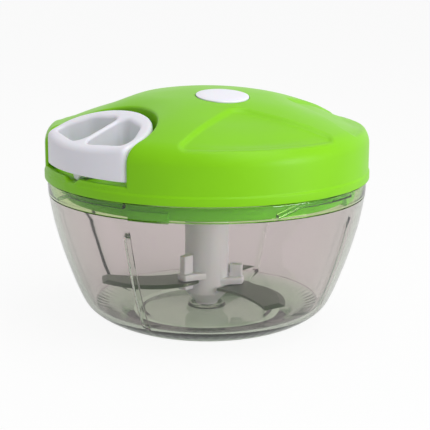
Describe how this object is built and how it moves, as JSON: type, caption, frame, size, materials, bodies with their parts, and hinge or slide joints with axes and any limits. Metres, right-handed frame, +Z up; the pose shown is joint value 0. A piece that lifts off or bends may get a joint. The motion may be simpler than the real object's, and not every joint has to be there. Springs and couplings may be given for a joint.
{
  "type": "pull-cord food chopper",
  "caption": "Hand food chopper: clear round bowl, domed twist-on lid with a cord-pull handle, spool and recoil spring, and a bladed cutter on a pin.",
  "frame": {"origin": "centre of the foot, on the surface that the bowl stands on", "axes": "+Z up along the bowl's axis; -Y towards the viewer of the picture, +X to the right; the handle is at the front left, 51.5 degrees round from -Y"},
  "size_m": [0.1308, 0.1308, 0.0985],
  "materials": {
    "clear_plastic": "clear, glossy",
    "lime_plastic": "satin to glossy",
    "white_plastic": "satin to glossy",
    "nylon": "matt",
    "stainless_steel": "fine ground",
    "silicone": "matt",
    "cord": "braided"
  },
  "bodies": {
    "bowl": {"bowl": "clear_plastic", "pivot_pin": "stainless_steel"},
    "seal": {"seal_ring": "silicone"},
    "lid": {"lid_cover": "lime_plastic", "lid_base": "lime_plastic", "top_cap": "white_plastic", "lid_screw_1": "stainless_steel", "lid_screw_2": "stainless_steel", "lid_screw_3": "stainless_steel", "lid_screw_4": "stainless_steel", "retaining_washer": "stainless_steel", "retaining_screw": "stainless_steel", "recoil_spring": "stainless_steel", "cord_eyelet": "white_plastic", "cord_lead": "cord", "pull_cord": "cord"},
    "spool": {"spool": "white_plastic", "spool_bush": "nylon", "spring_cover": "white_plastic", "cord_winding": "cord"},
    "handle": {"pull_handle": "white_plastic", "cord_knot": "cord"},
    "cutter": {"cutter_shaft": "white_plastic", "blade_upper": "stainless_steel", "blade_middle": "stainless_steel", "blade_lower": "stainless_steel", "blade_peg_upper": "white_plastic", "blade_peg_middle": "white_plastic", "blade_peg_lower": "white_plastic"}
  },
  "joints": [
    {"name": "lid_lift", "type": "slide", "parent": "bowl", "child": "seal", "axis": [0, 0, 1], "range_m": [0, 0.09]},
    {"name": "lid_twist", "type": "hinge", "parent": "seal", "child": "lid", "pos_m": [0, 0, 0.06], "axis": [0, 0, -1], "range_deg": [0, 24]},
    {"name": "handle_pull", "type": "slide", "parent": "lid", "child": "handle", "axis": [-0.7826, -0.6225, 0], "range_m": [0, 0.35]},
    {"name": "spool_spin", "type": "hinge", "parent": "lid", "child": "spool", "pos_m": [0, 0, 0.066], "axis": [0, 0, -1], "range_deg": [0, 1240]},
    {"name": "blade_drop", "type": "slide", "parent": "spool", "child": "cutter", "axis": [0, 0, -1], "range_m": [0, 0.09]}
  ],
  "couplings": [
    {"joint": "spool_spin", "follows": "handle_pull", "rad_per_m": 61.73},
    {"joint": "blade_drop", "follows": "lid_lift", "ratio": 1}
  ]
}
